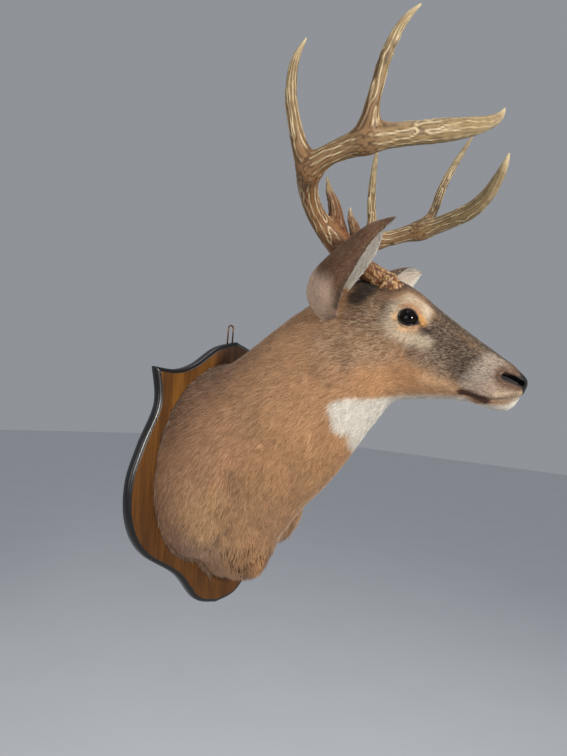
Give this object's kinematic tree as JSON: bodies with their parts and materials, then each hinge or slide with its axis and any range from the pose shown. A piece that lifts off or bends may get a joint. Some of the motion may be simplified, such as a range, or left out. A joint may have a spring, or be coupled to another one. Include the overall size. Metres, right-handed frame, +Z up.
{
  "type": "deer shoulder mount",
  "caption": "Wall-hung white-tailed buck's head, neck and shoulders on a shaped wooden plaque, with antlers, pricked ears and glass eyes.",
  "frame": {"origin": "middle of the plaque's flat back face, which lies against the wall in the plane Y = 0", "axes": "+Z up, -Y out from the wall into the room, +X to the animal's own left"},
  "size_m": [0.5165, 0.5545, 0.9791],
  "materials": {
    "wood": "stained wood, satin face, dark glossy edge",
    "wire": "darkened wire",
    "coat": "short deer hair",
    "ear": "short dark deer hair, white inside",
    "eye": "polished glass, nearly black",
    "antler": "natural antler, ridged, satin"
  },
  "bodies": {
    "root": {"plaque_board": "wood", "hanger_loop": "wire", "shoulders": "coat", "neck": "coat", "head": "coat", "ear_right": "ear", "eye_right": "eye", "burr_right": "antler", "beam_base_right": "antler", "beam_middle_right": "antler", "beam_tip_right": "antler", "brow_tine_right": "antler", "tine_2_right": "antler", "tine_3_right": "antler", "ear_left": "ear", "eye_left": "eye", "burr_left": "antler", "beam_base_left": "antler", "beam_middle_left": "antler", "beam_tip_left": "antler", "brow_tine_left": "antler", "tine_2_left": "antler", "tine_3_left": "antler"}
  },
  "joints": []
}
